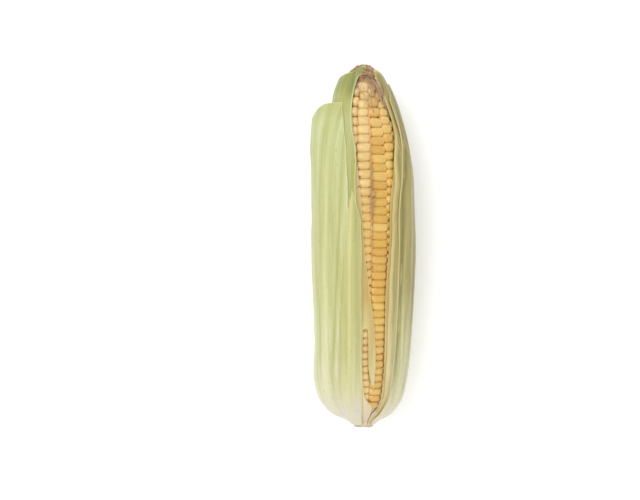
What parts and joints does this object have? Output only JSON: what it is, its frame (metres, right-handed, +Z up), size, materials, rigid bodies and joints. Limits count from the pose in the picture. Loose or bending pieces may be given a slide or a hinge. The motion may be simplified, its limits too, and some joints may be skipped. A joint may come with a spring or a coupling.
{
  "type": "corn cob",
  "caption": "Fresh ear of sweetcorn in its green husk, lying on its side with the husk parted along the top to show the kernel rows, and a tuft of dry silk at the tip.",
  "frame": {"origin": "middle of the underside of the ear's box, on the surface it lies on", "axes": "+Y along the ear from its cut stem to its tip, +Z up through the parted side of the husk, +X to the right seen from above with the tip away"},
  "size_m": [0.0554, 0.19, 0.0543],
  "materials": {
    "kernels": "moist gloss, golden yellow, paler at the crown",
    "husk_green": "satin, fine lengthwise veins, yellow-green",
    "husk_pale": "satin, fine lengthwise veins, pale green to cream at the stem",
    "husk_olive": "satin, ribbed lengthwise, olive to beige",
    "husk_lining": "thin and slightly translucent, beige",
    "cob": "pithy, cream",
    "silk": "dry matted threads, tan to brown"
  },
  "bodies": {
    "root": {"inner_leaf_left": "husk_green", "inner_leaf_right": "husk_olive", "inner_leaf_under": "husk_pale", "kernel_row_01": "kernels", "kernel_row_02": "kernels", "kernel_row_03": "kernels", "kernel_row_04": "kernels", "kernel_row_05": "kernels", "kernel_row_06": "kernels", "kernel_row_07": "kernels", "kernel_row_08": "kernels", "kernel_row_09": "kernels", "kernel_row_10": "kernels", "kernel_row_11": "kernels", "kernel_row_12": "kernels", "kernel_row_13": "kernels", "kernel_row_14": "kernels", "kernel_row_15": "kernels", "kernel_row_16": "kernels", "lining_leaf_left": "husk_lining", "lining_leaf_right": "husk_lining", "outer_leaf_left": "husk_green", "outer_leaf_lower_left": "husk_pale", "outer_leaf_right": "husk_olive", "outer_leaf_under": "husk_pale", "silk_tuft": "silk", "stalk_and_cob": "cob"}
  },
  "joints": []
}
